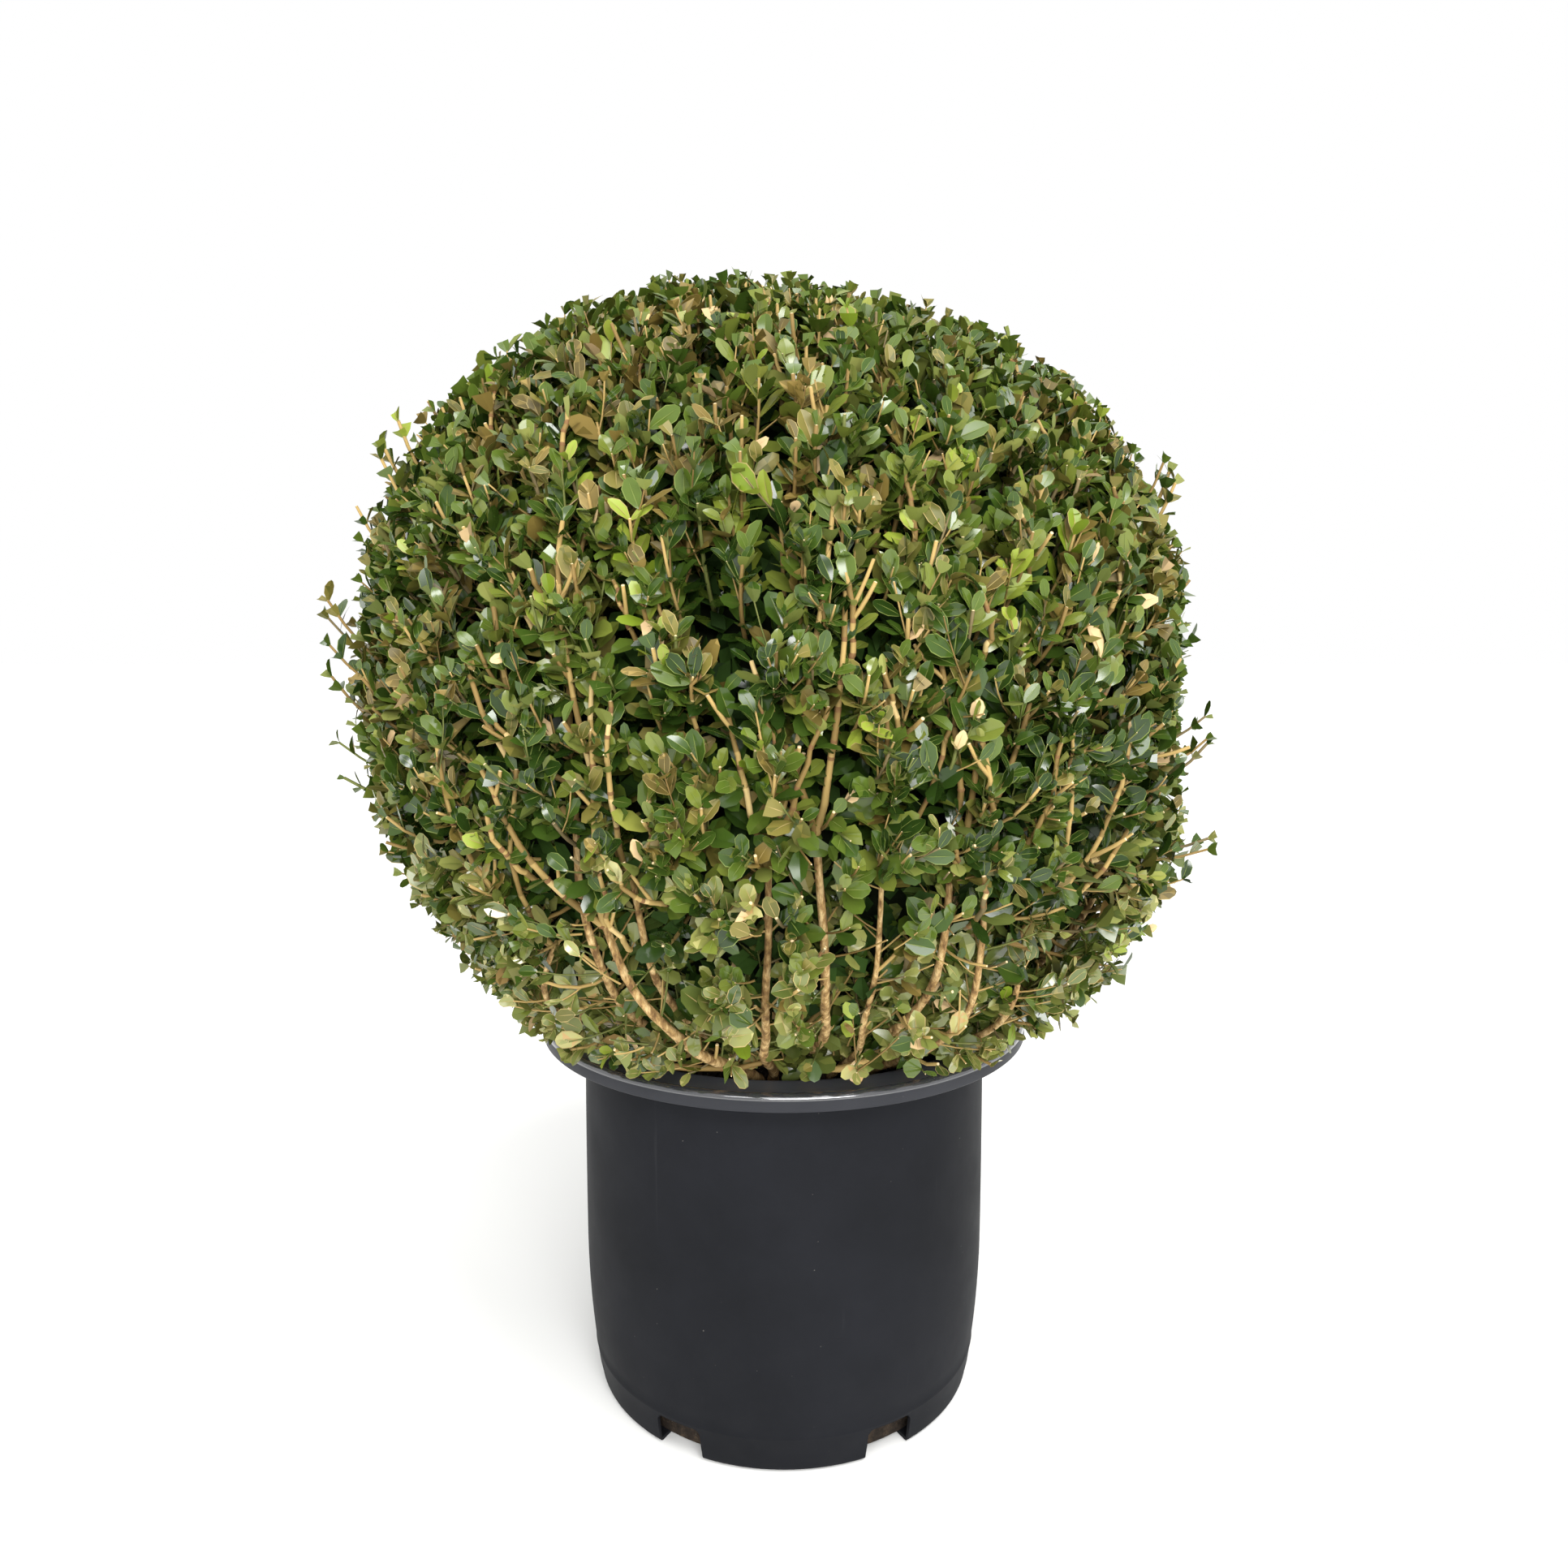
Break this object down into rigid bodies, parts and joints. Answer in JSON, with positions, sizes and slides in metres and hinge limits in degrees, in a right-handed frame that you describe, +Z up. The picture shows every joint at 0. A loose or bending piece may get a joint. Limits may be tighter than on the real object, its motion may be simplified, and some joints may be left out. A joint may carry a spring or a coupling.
{
  "type": "box topiary ball in a nursery pot",
  "caption": "Clipped box ball on several slender stems, growing in a round black nursery pot with an overhanging lip.",
  "frame": {"origin": "centre of the pot's flat underside", "axes": "+Z up along the pot's axis, -Y the front"},
  "size_m": [0.5744, 0.5723, 0.7877],
  "materials": {
    "pot_plastic": "satin moulded black plastic, lightly scuffed",
    "potting_mix": "damp coarse potting mix",
    "bark": "thin tan bark, finely ridged",
    "foliage": "small glossy evergreen leaves"
  },
  "bodies": {
    "root": {"pot": "pot_plastic", "potting_mix": "potting_mix", "main_stem": "bark", "bough_01": "bark", "bough_02": "bark", "bough_03": "bark", "bough_04": "bark", "bough_05": "bark", "bough_06": "bark", "bough_07": "bark", "bough_08": "bark", "bough_09": "bark", "bough_10": "bark", "bough_11": "bark", "bough_12": "bark", "bough_13": "bark", "bough_14": "bark", "bough_15": "bark", "bough_16": "bark", "bough_17": "bark", "bough_18": "bark", "foliage_ball": "foliage"}
  },
  "joints": []
}
